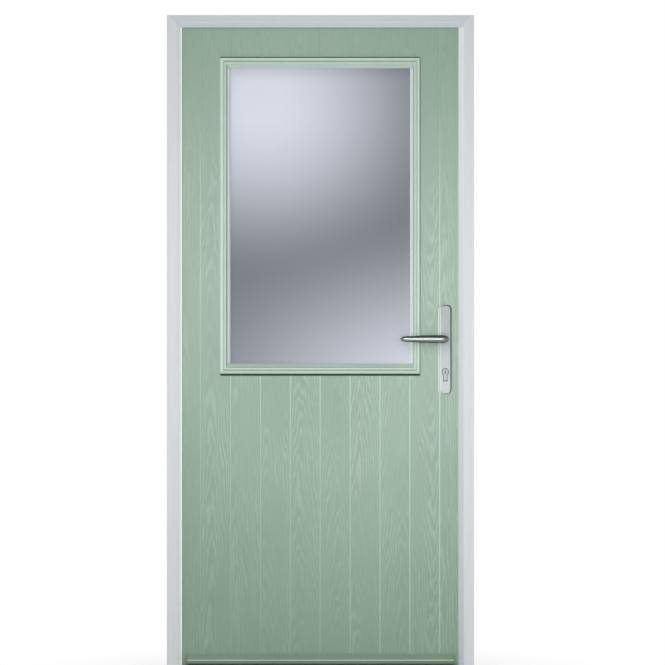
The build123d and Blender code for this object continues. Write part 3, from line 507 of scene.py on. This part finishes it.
def plated_metal(name, colour, roughness, stretch, rim=(1, 1, 1)):
    """Plated metal with a worked face: lines of rubbing give the gloss a soft streak, and handling dulls it in
    patches.

    The rim is how it tints at a glance; the dark rim given to the polished chrome is painted shade.
    """
    made, put, shader, place = finish(name, Metallic=1.0, Specular_Tint=rgba(rim))
    run = put(VECTOR, {0: place, 1: stretch}, "MULTIPLY")
    lines = put(NOISE, {"Vector": run, "Scale": 1.0, "Detail": 2.0})
    patch = put(NOISE, {"Vector": place, "Scale": 45.0, "Detail": 2.0})
    wear_and_highlight = put(MATH, {0: lines, 1: patch}, "MULTIPLY")
    gloss = put(RANGE, {0: wear_and_highlight, 1: 0.1, 2: 0.45, 3: 0.75 * roughness, 4: 1.3 * roughness})
    tone = put(RANGE, {0: patch, 1: 0.3, 2: 0.7, 3: 0.95, 4: 1.04})
    shade = put(VECTOR, {0: colour, "Scale": tone}, "SCALE")
    bump = put(BUMP, {"Height": lines, "Strength": 0.06, "Distance": 0.0001})
    fill(shader, {"Base Color": shade, "Roughness": gloss, "Normal": bump})
    return made


# Shapes


def lathe(shape, stations, start, along, out, count):
    """Adds a turned form: each station is a distance along the axis and a radius, and both ends are closed."""
    side = along.cross(out)
    rings = []
    for distance, radius in stations:
        ring = []
        for n in range(count):
            angle = 2 * math.pi * n / count
            ring.append(shape.verts.new(
                start + along * distance + out * radius * math.cos(angle) + side * radius * math.sin(angle)))
        rings.append(ring)
    for low, high in zip(rings, rings[1:]):
        for n in range(count):
            shape.faces.new((low[n], low[(n + 1) % count], high[(n + 1) % count], high[n]))
    shape.faces.new(rings[0])
    shape.faces.new(rings[-1])


def prism(shape, outline, along):
    """Adds a closed prism: an outline of points pushed along a vector."""
    near = [shape.verts.new(point) for point in outline]
    far = [shape.verts.new(point + along) for point in outline]
    for n in range(len(outline)):
        m = (n + 1) % len(outline)
        shape.faces.new((near[n], near[m], far[m], far[n]))
    shape.faces.new(near)
    shape.faces.new(far)


def piece(name, shape, material, body):
    """Turns a shape into a piece that rides on a body, smooth except at its sharp edges."""
    bmesh.ops.recalc_face_normals(shape, faces=shape.faces)
    mesh = bpy.data.meshes.new(name)
    shape.to_mesh(mesh)
    shape.free()
    mesh.materials.append(material)
    mesh.polygons.foreach_set("use_smooth", [True] * len(mesh.polygons))
    mesh.set_sharp_from_angle(angle=math.radians(35))
    made = bpy.data.objects.new(name, mesh)
    bpy.context.scene.collection.objects.link(made)
    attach(made, body)
    return made


def screw_tree(material):
    """Node tree that stands a countersunk screw head with a cross recess on each point, along its facing."""
    tree = bpy.data.node_groups.new("countersunk_screws", "GeometryNodeTree")
    tree.interface.new_socket("Points", in_out="INPUT", socket_type="NodeSocketGeometry")
    tree.interface.new_socket("Head diameter", in_out="INPUT", socket_type="NodeSocketFloat")
    tree.interface.new_socket("Head height", in_out="INPUT", socket_type="NodeSocketFloat")
    tree.interface.new_socket("Screws", in_out="OUTPUT", socket_type="NodeSocketGeometry")
    put = partial(add, tree)
    given = put("NodeGroupInput")
    diameter, height = given.outputs["Head diameter"], given.outputs["Head height"]
    rim = put(MATH, {0: diameter, 1: 0.5}, "MULTIPLY")
    crown = put(MATH, {0: diameter, 1: 0.4}, "MULTIPLY")
    head = put("GeometryNodeMeshCone",
               {"Vertices": 24, "Radius Top": crown, "Radius Bottom": rim, "Depth": height}, fill_type="NGON")
    arm = put(MATH, {0: diameter, 1: 0.52}, "MULTIPLY")
    web = put(MATH, {0: diameter, 1: 0.12}, "MULTIPLY")
    first = put(VECTOR_OF, {0: arm, 1: web, 2: height})
    second = put(VECTOR_OF, {0: web, 1: arm, 2: height})
    lift = put(MATH, {0: height, 1: 0.8}, "MULTIPLY")
    shift = put(VECTOR_OF, {2: lift})
    slots = put("GeometryNodeJoinGeometry")
    for size in (first, second):
        bar = put("GeometryNodeMeshCube", {"Size": size})
        bar = put("GeometryNodeTransform", {"Geometry": bar, "Translation": shift})
        tree.links.new(bar.outputs[0], slots.inputs[0])
    cut = put("GeometryNodeMeshBoolean", {"Mesh 1": head, "Mesh 2": slots}, "DIFFERENCE")
    facing = put("GeometryNodeInputNamedAttribute", {"Name": "facing"}, data_type="FLOAT_VECTOR")
    stand = put("FunctionNodeAlignRotationToVector", {"Vector": facing}, axis="Z")
    spin = put("FunctionNodeRandomValue", {2: 0.0, 3: math.pi / 2, "Seed": 7}, data_type="FLOAT")
    twist = put("FunctionNodeAxisAngleToRotation", {"Axis": (0, 0, 1), "Angle": spin.outputs[1]})
    turned = put("FunctionNodeRotateRotation", {"Rotation": stand, "Rotate By": twist}, rotation_space="LOCAL")
    placed = put("GeometryNodeInstanceOnPoints",
                 {"Points": given.outputs["Points"], "Instance": cut, "Rotation": turned})
    real = put("GeometryNodeRealizeInstances", {"Geometry": placed})
    coated = put("GeometryNodeSetMaterial", {"Geometry": real, "Material": material})
    put("NodeGroupOutput", {0: coated})
    return tree


# Settings


class DoorColours(bpy.types.PropertyGroup):
    skin_green: FloatVectorProperty(
        name="Skin green", description="Paint of the leaf's skins and edges",
        default=linear("7B9683"), subtype="COLOR", min=0, max=1)
    streak_green: FloatVectorProperty(
        name="Streak green", description="Raised grain of the skins",
        default=linear("93AD9B"), subtype="COLOR", min=0, max=1)
    # Painted highlight: the pale line in the grooves and beside the lock jamb's stop.
    highlight_pale: FloatVectorProperty(
        name="Groove pale", description="Paint pooled in the grooves, where it is clean",
        default=linear("BBD4C3"), subtype="COLOR", min=0, max=1)
    # Painted highlight in the grooves, where it is dimmer.
    groove_highlight_dim: FloatVectorProperty(
        name="Groove dull", description="Paint pooled in the grooves, where dirt dulls it",
        default=linear("82A08C"), subtype="COLOR", min=0, max=1)
    cassette_green: FloatVectorProperty(
        name="Cassette green", description="Moulded frames round the glass",
        default=linear("B6C9BC"), subtype="COLOR", min=0, max=1)
    # Painted highlight on the cassettes' lip beside the glass.
    lip_highlight: FloatVectorProperty(
        name="Gasket", description="Soft lip of the cassettes beside the glass",
        default=linear("DFE4E4"), subtype="COLOR", min=0, max=1)
    bar_green: FloatVectorProperty(
        name="Weather bar green", description="Drip moulding at the foot of the leaf",
        default=linear("889F89"), subtype="COLOR", min=0, max=1)
    frame_white: FloatVectorProperty(
        name="Frame white", description="Foil of the frame", default=linear("D1D5D7"), subtype="COLOR", min=0, max=1)
    # Painted shade: the head's foil is a little darker and cooler than the jambs'.
    head_white_shaded: FloatVectorProperty(
        name="Head white", description="Foil of the frame's head, a little cooler",
        default=linear("C6CED2"), subtype="COLOR", min=0, max=1)
    # Painted shade and painted light on the etched glass, the two ends of its clouds.
    glass_painted_dark: FloatVectorProperty(
        name="Glass dark", description="Etched glass where little light comes through",
        default=linear("5D626D"), subtype="COLOR", min=0, max=1)
    glass_painted_bright: FloatVectorProperty(
        name="Glass bright", description="Etched glass where daylight comes through",
        default=linear("D7DAE6"), subtype="COLOR", min=0, max=1)
    chrome: FloatVectorProperty(
        name="Chrome", description="Polished levers", default=linear("7E8482"), subtype="COLOR", min=0, max=1)
    satin_silver: FloatVectorProperty(
        name="Satin silver", description="Plates behind the levers",
        default=linear("A4ABAC"), subtype="COLOR", min=0, max=1)
    steel: FloatVectorProperty(
        name="Steel", description="Hinges, lock parts and screws",
        default=linear("BDBFC0"), subtype="COLOR", min=0, max=1)


class DoorSizes(bpy.types.PropertyGroup):
    ring_spacing: FloatProperty(
        name="Ring spacing", description="Distance between growth rings in the embossed grain", default=0.0078,
        unit="LENGTH")
    screw_head: FloatProperty(
        name="Screw head", description="Diameter of the screw heads", default=0.0075, unit="LENGTH")
    screw_proud: FloatProperty(
        name="Screw height", description="How far a screw head stands out", default=0.0006, unit="LENGTH")
    plug_diameter: FloatProperty(
        name="Plug diameter", description="Turning plug in the face of the lock cylinder", default=0.013,
        unit="LENGTH")
    cap_thickness: FloatProperty(
        name="End cap", description="Thickness of the weather bar's end caps", default=0.0018, unit="LENGTH")
    softbox_power: FloatProperty(
        name="Softbox", description="Soft lamp in front of the door", default=33.6, unit="POWER")
    key_power: FloatProperty(
        name="Key lamp", description="Lamp up on the hinge side", default=55.0, unit="POWER")
    back_power: FloatProperty(
        name="Back lamps", description="Two soft lamps behind the door", default=72.0, unit="POWER")
    fill: FloatProperty(
        name="Fill", description="Even light from all round", default=0.15, min=0, max=1, subtype="FACTOR")


# Pieces


class DOOR_OT_frame(bpy.types.Operator):
    """Foil on the frame, aluminium on the threshold, rubber seals and intumescent strips"""
    bl_idname = "door.frame"
    bl_label = "Frame and threshold"

    def execute(self, context):
        look = colours()
        dress(grained_foil("foil_upright", look.frame_white, (330.0, 330.0, 7.0)), "hinge_jamb", "lock_jamb")
        # The head's foil takes the darker white, as painted shade.
        dress(grained_foil("foil_head", look.head_white_shaded, (7.0, 330.0, 330.0)), "frame_head")
        dress(mill_aluminium("mill_aluminium", linear("B4BAB6")), "threshold")
        dress(seal_rubber(), "hinge_jamb_seal", "lock_jamb_seal", "head_seal", "threshold_seal")
        dress(intumescent_strip(), "hinge_jamb_strip", "lock_jamb_strip", "head_strip")
        return {"FINISHED"}


class DOOR_OT_leaf(bpy.types.Operator):
    """Embossed skins, painted edges and the foam inside the leaf"""
    bl_idname = "door.leaf"
    bl_label = "Leaf"

    def execute(self, context):
        dress(embossed_skin(), "outer_skin", "inner_skin")
        dress(painted_edge(), "hinge_stile", "lock_stile", "top_rail", "bottom_rail")
        dress(rigid_foam(), "foam_core")
        return {"FINISHED"}


class DOOR_OT_glazing(bpy.types.Operator):
    """Moulded cassettes, etched panes and the spacer between them"""
    bl_idname = "door.glazing"
    bl_label = "Glazing"

    def execute(self, context):
        dress(moulded_cassette(), "outer_cassette", "inner_cassette")
        dress(etched_glass(), "outer_pane", "inner_pane")
        dress(mill_aluminium("spacer_aluminium", linear("A8A8A8")), "spacer_bar")
        return {"FINISHED"}


class DOOR_OT_weather_bar(bpy.types.Operator):
    """Weather bar and its two moulded end caps"""
    bl_idname = "door.weather_bar"
    bl_label = "Weather bar"

    def execute(self, context):
        green = coated_bar()
        dress(green, "weather_bar")
        low, high = bar_low, bar_high
        depth, rise = high.y - low.y, high.z - low.z
        proud = 0.0008
        section = [
            (high.y, low.z - proud),
            (high.y, high.z + proud),
            (high.y - 0.14 * depth, high.z + proud),
            (low.y - proud, low.z + 0.52 * rise),
            (low.y - proud, low.z + 0.26 * rise),
            (low.y + 0.2 * depth, low.z - proud),
        ]
        shape = bmesh.new()
        for end, step in ((low.x, -1), (high.x, 1)):
            outline = [Vector((end, y, z)) for y, z in section]
            prism(shape, outline, Vector((step * sizes().cap_thickness, 0, 0)))
        bmesh.ops.bevel(shape, geom=shape.edges[:], offset=0.0004, segments=2, affect="EDGES")
        piece("weather_bar_end_caps", shape, green, "leaf")
        return {"FINISHED"}


class DOOR_OT_levers(bpy.types.Operator):
    """Polished levers turned from the CAD levers' sizes, with the plates and the spindle behind them"""
    bl_idname = "door.levers"
    bl_label = "Lever furniture"

    def execute(self, context):
        look = colours()
        # The chrome's dark rim tint is painted shade along the levers' edges.
        chrome = plated_metal("polished_chrome", look.chrome, 0.28, (60.0, 900.0, 900.0), linear("2E3431"))
        dress(silver_lacquer(), "outer_handle_plate", "inner_handle_plate")
        dress(plated_metal("spindle_steel", look.steel, 0.3, (300.0, 30.0, 300.0)), "spindle")
        for name in ("outer_lever", "inner_lever"):
            low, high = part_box(name)
            facing = -1 if name == "outer_lever" else 1
            thick = (high.z - low.z) / 2
            near, far = (high.y, low.y) if facing < 0 else (low.y, high.y)
            grip_y = far - facing * thick
            heel, tip = high.x - lever_x, lever_x - low.x
            start, slim, nose = 0.012, 0.009, 0.02
            turn = [math.radians(7.5 * n) for n in range(13)]
            grip = [(start - (heel + start) * math.cos(a), thick * math.sin(a)) for a in turn[1:]]
            run = tip - nose - start
            grip += [(start + run * n / 12, thick + (slim - thick) * (n / 12) ** 1.8) for n in range(1, 12)]
            grip += [(tip - nose + nose * math.sin(a), slim * math.cos(a)) for a in turn[:-1]]
            neck = abs(grip_y - near)
            stem = [(0, 0.008), (0.0005, 0.0085), (0.0125, 0.0085), (0.0135, 0.0082), (0.4 * neck, 0.0074),
                    (0.6 * neck, 0.0072), (0.75 * neck, 0.0078), (0.85 * neck, 0.0088), (neck, 0.0088)]
            shape = bmesh.new()
            upward, grip_sides, stem_sides = Vector((0, 0, 1)), 64, 48
            lathe(shape, grip, Vector((lever_x, grip_y, lever_z)), Vector((-1, 0, 0)), upward, grip_sides)
            lathe(shape, stem, Vector((lever_x, near, lever_z)), Vector((0, facing, 0)), upward, stem_sides)
            made = piece(name + "_polished", shape, chrome, "levers")
            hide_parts(name)
        return {"FINISHED"}


class DOOR_OT_lock(bpy.types.Operator):
    """Lock cylinder with its turning plugs, and the faceplate, bolts and keeps of the lock edge"""
    bl_idname = "door.lock"
    bl_label = "Lock"

    def execute(self, context):
        look = colours()
        nickel = plated_metal("satin_nickel_cylinder", linear("C4C7C7"), 0.28, (700.0, 60.0, 700.0))
        dress(nickel, "lock_cylinder")
        dress(plated_metal("brushed_lock_edge", look.steel, 0.36, (700.0, 700.0, 30.0)),
              "lock_faceplate", "lock_keeps")
        dress(plated_metal("machined_bolts", linear("C8C8C6"), 0.3, (60.0, 700.0, 700.0)), "lock_bolts")
        low, high = barrel_low, barrel_high
        centre = Vector((lever_x, 0, high.z - (high.x - low.x) / 2))
        count, radius = 48, sizes().plug_diameter / 2
        slot_x, slot_z = 0.0012, 0.0045
        turns = [(math.cos(2 * math.pi * n / count), math.sin(2 * math.pi * n / count)) for n in range(count)]
        shape = bmesh.new()
        for face, facing in ((low.y, -1), (high.y, 1)):
            rings = []
            for out, size in ((-0.0002, 1.0), (0.0003, 1.0), (0.0005, 0.97)):
                rings.append([centre + Vector((size * radius * x, face + facing * out, size * radius * z))
                              for x, z in turns])
            for out in (0.0005, -0.002):
                ring = []
                for x, z in turns:
                    reach = min(slot_x / max(abs(x), 1e-6), slot_z / max(abs(z), 1e-6))
                    ring.append(centre + Vector((reach * x, face + facing * out, reach * z)))
                rings.append(ring)
            rings = [[shape.verts.new(point) for point in ring] for ring in rings]
            for near, far in zip(rings, rings[1:] + rings[:1]):
                for n in range(count):
                    m = (n + 1) % count
                    shape.faces.new((near[n], near[m], far[m], far[n]))
        piece("cylinder_plugs", shape, nickel, "leaf")
        # Wards stand in the keyways behind the plugs, coloured near black as painted shade.
        shaded_wards = plated_metal("wards_painted_shade", linear("2A2723"), 0.5, (300.0, 300.0, 300.0))
        corners = ((-0.0011, -0.0044), (0.0011, -0.0044), (0.0011, 0.0044), (-0.0011, 0.0044))
        shape = bmesh.new()
        for face, facing in ((low.y, -1), (high.y, 1)):
            outline = [centre + Vector((x, face - facing * 0.001, z)) for x, z in corners]
            prism(shape, outline, Vector((0, -facing * 0.0026, 0)))
        piece("keyway_wards", shape, shaded_wards, "leaf")
        return {"FINISHED"}


class DOOR_OT_hinges(bpy.types.Operator):
    """Brushed steel on the hinge flaps and pins"""
    bl_idname = "door.hinges"
    bl_label = "Hinges"

    def execute(self, context):
        flaps = plated_metal("brushed_stainless_flap", colours().steel, 0.36, (700.0, 700.0, 40.0))
        pins = plated_metal("turned_steel_pin", linear("C9CBCB"), 0.24, (120.0, 120.0, 900.0))
        for level in hinge_levels:
            dress(flaps, level + "_hinge_frame_flap", level + "_hinge_leaf_flap")
            dress(pins, level + "_hinge_pin")
        return {"FINISHED"}


class DOOR_OT_screws(bpy.types.Operator):
    """Countersunk screws in the hinge flaps, faceplate, keeps, inner plate and threshold, one mesh for each body"""
    bl_idname = "door.screws"
    bl_label = "Screws"

    def execute(self, context):
        held = {"frame": [], "leaf": []}
        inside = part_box("hinge_jamb")[1].y
        jamb_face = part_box("hinge_jamb_strip")[1].x
        leaf_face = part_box("hinge_stile")[0].x
        for level in hinge_levels:
            low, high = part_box(level + "_hinge_leaf_flap")
            middle = (low.z + high.z) / 2
            for back, rise in ((0.010, -0.037), (0.021, -0.014), (0.010, 0.014), (0.021, 0.037)):
                held["frame"].append(((jamb_face, inside - back, middle + rise), (1, 0, 0)))
                held["leaf"].append(((leaf_face, inside - back, middle + rise), (-1, 0, 0)))
        low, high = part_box("lock_faceplate")
        middle = (low.y + high.y) / 2
        for rise in (0.02, 0.092, 0.2, 0.47, 0.735, 0.851, 0.95, 1.2, 1.375, 1.475, 1.686):
            held["leaf"].append(((high.x, middle, low.z + rise), (1, 0, 0)))
        low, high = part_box("lock_keeps")
        for rise in (0.014, 0.094, 0.686, 0.829, 1.294, 1.374):
            held["frame"].append(((low.x, middle, low.z + rise), (-1, 0, 0)))
        low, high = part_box("inner_handle_plate")
        end, sunk = 0.018, 0.003
        for z in (low.z + end, high.z - end):
            held["leaf"].append(((lever_x, high.y - sunk, z), (0, 1, 0)))
        tread_y, tread_z = 0.002, 0.012
        for x in (-0.36, -0.12, 0.12, 0.36):
            held["frame"].append(((x, tread_y, tread_z), (0, 0, 1)))

        steel = plated_metal("zinc_plated_screw", colours().steel, 0.3, (300.0, 300.0, 300.0))
        tree = screw_tree(steel)
        sockets = {item.name: item.identifier for item in tree.interface.items_tree}
        for body, places in held.items():
            mesh = bpy.data.meshes.new(body + "_screws")
            mesh.from_pydata([place for place, facing in places], [], [])
            facings = mesh.attributes.new("facing", "FLOAT_VECTOR", "POINT")
            facings.data.foreach_set("vector", [c for place, facing in places for c in facing])
            made = bpy.data.objects.new(body + "_screws", mesh)
            modifier = made.modifiers.new("screws", "NODES")
            modifier.node_group = tree
            modifier[sockets["Head diameter"]] = sizes().screw_head
            modifier[sockets["Head height"]] = sizes().screw_proud
            context.scene.collection.objects.link(made)
            ready = made.evaluated_get(context.evaluated_depsgraph_get())
            solid = bpy.data.meshes.new_from_object(ready)
            made.modifiers.clear()
            made.data = solid
            if not solid.polygons:
                raise RuntimeError("no screws were made for " + body)
            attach(made, body)
        return {"FINISHED"}


class DOOR_OT_stage(bpy.types.Operator):
    """Pale floor, soft lamps, white background and the camera"""
    bl_idname = "door.stage"
    bl_label = "Stage"

    def execute(self, context):
        scene = context.scene
        scene.view_settings.view_transform = "Standard"

        # Floor: white, keeping part of the object's shadow where the camera sees it.
        made, put, shader, place = finish("studio_floor", Roughness=0.8)
        speck = put(NOISE, {"Vector": place, "Scale": 3.0, "Detail": 1.0})
        tone = put(RANGE, {0: speck, 3: 0.86, 4: 0.9})
        fill(shader, {"Base Color": tone})
        glow = put("ShaderNodeEmission", {"Strength": 1.0})
        ray = put("ShaderNodeLightPath")
        seen = put(MATH, {0: ray.outputs["Is Camera Ray"], 1: ray.outputs["Is Glossy Ray"]}, "MAXIMUM")
        seen = put(MATH, {0: seen, 1: ray.outputs["Is Transmission Ray"]}, "MAXIMUM")
        # The shadow fades out from about half a metre to one metre away.
        away = put(VECTOR, {0: place}, "LENGTH").outputs["Value"]
        share = put(RANGE, {0: away, 1: 0.45, 2: 1.0, 3: 0.7, 4: 1.0})
        share = put(MATH, {0: seen, 1: share}, "MULTIPLY")
        both = put("ShaderNodeMixShader", {0: share, 1: shader, 2: glow})
        output = [n for n in made.node_tree.nodes if n.type == "OUTPUT_MATERIAL"][0]
        fill(output, {"Surface": both})
        shape = bmesh.new()
        bmesh.ops.create_circle(shape, cap_ends=True, radius=2.6, segments=96)
        mesh = bpy.data.meshes.new("studio_floor")
        shape.to_mesh(mesh)
        shape.free()
        mesh.materials.append(made)
        floor = bpy.data.objects.new("studio_floor", mesh)
        scene.collection.objects.link(floor)

        # Background: white where it is seen, dimmer overhead in reflections, and an even fill on everything else.
        world = bpy.data.worlds.new("studio")
        world.use_nodes = True
        world.node_tree.nodes.clear()
        put = partial(add, world.node_tree)
        ray = put("ShaderNodeLightPath")
        seen = put(MATH, {0: ray.outputs["Is Camera Ray"], 1: ray.outputs["Is Transmission Ray"]}, "MAXIMUM")
        ways = put(AXES, {0: put("ShaderNodeTexCoord").outputs["Generated"]})
        ceiling = put(RANGE, {0: ways.outputs["Z"], 1: 0.2, 2: 0.8, 3: 1.0, 4: 0.2})
        level = put(RANGE, {0: ray.outputs["Is Glossy Ray"], 3: sizes().fill, 4: ceiling})
        level = put(RANGE, {0: seen, 3: level, 4: 1.0})
        background = put("ShaderNodeBackground", {"Color": (1, 1, 1, 1), "Strength": level})
        put("ShaderNodeOutputWorld", {"Surface": background})
        scene.world = world

        lamps = (
            ("softbox", (0.1, -2.1, 1.25), (0.1, 0.0, 1.25), (1.7, 1.45), -34.0, sizes().softbox_power),
            ("key_lamp", (-1.36, -5.46, 4.35), (0.0, 0.0, 1.1), (0.5, 0.5), 0.0, sizes().key_power),
            ("hinge_side_lamp", (-2.2, 2.8, 3.7), (0.0, 0.0, 1.3), (1.2, 1.2), 0.0, sizes().back_power),
            ("lock_side_lamp", (2.2, 2.8, 3.7), (0.0, 0.0, 1.3), (1.2, 1.2), 0.0, sizes().back_power),
        )
        for name, place, aim, size, lean, power in lamps:
            light = bpy.data.lights.new(name, "AREA")
            light.shape = "RECTANGLE"
            light.size, light.size_y = size
            light.energy = power
            lamp = bpy.data.objects.new(name, light)
            toward = Vector(aim) - Vector(place)
            lamp.rotation_euler = toward.to_track_quat("-Z", "Y").to_euler()
            lamp.rotation_euler.rotate_axis("Z", math.radians(lean))
            lamp.location = place
            lamp.visible_camera = False
            scene.collection.objects.link(lamp)
            if name == "softbox":
                # The flat metal of the lock cylinder would mirror the softbox and burn out, so it is left out.
                spared = bpy.data.collections.new("flat_metal")
                spared.objects.link(scene.objects["cylinder_plugs"])
                spared.objects.link(nodes["lock_cylinder"])
                for item in spared.collection_objects:
                    item.light_linking.link_state = "EXCLUDE"
                lamp.light_linking.receiver_collection = spared

        lens = bpy.data.cameras.new("elevation")
        lens.sensor_fit = "HORIZONTAL"
        half_width, distance = 1.0614, 11.975
        lens.angle = 2 * math.atan(half_width / distance)
        camera = bpy.data.objects.new("elevation", lens)
        camera.location = (0.0383, -12.0, 1.0876)
        camera.rotation_euler = (math.pi / 2, 0, 0)
        scene.collection.objects.link(camera)
        scene.camera = camera
        return {"FINISHED"}


class DOOR_PT_panel(bpy.types.Panel):
    """Sidebar panel with the door's settings and pieces"""
    bl_idname = "DOOR_PT_panel"
    bl_label = "Composite door"
    bl_space_type = "VIEW_3D"
    bl_region_type = "UI"
    bl_category = "Door"

    def draw(self, context):
        for group in (context.scene.door_colours, context.scene.door_sizes):
            for key in group.bl_rna.properties.keys():
                if key not in ("rna_type", "name"):
                    self.layout.prop(group, key)
        for operator in operators:
            self.layout.operator(operator.bl_idname)


operators = (DOOR_OT_frame, DOOR_OT_leaf, DOOR_OT_glazing, DOOR_OT_weather_bar, DOOR_OT_levers, DOOR_OT_lock,
             DOOR_OT_hinges, DOOR_OT_screws, DOOR_OT_stage)
classes = (DoorColours, DoorSizes, *operators, DOOR_PT_panel)


def register():
    for made in classes:
        bpy.utils.register_class(made)
    bpy.types.Scene.door_colours = PointerProperty(type=DoorColours)
    bpy.types.Scene.door_sizes = PointerProperty(type=DoorSizes)


def unregister():
    del bpy.types.Scene.door_sizes
    del bpy.types.Scene.door_colours
    for made in reversed(classes):
        bpy.utils.unregister_class(made)


def main():
    register()
    bpy.ops.door.frame()
    bpy.ops.door.leaf()
    bpy.ops.door.glazing()
    bpy.ops.door.weather_bar()
    bpy.ops.door.levers()
    bpy.ops.door.lock()
    bpy.ops.door.hinges()
    bpy.ops.door.screws()
    bpy.ops.door.stage()


if __name__ == "__main__":
    main()
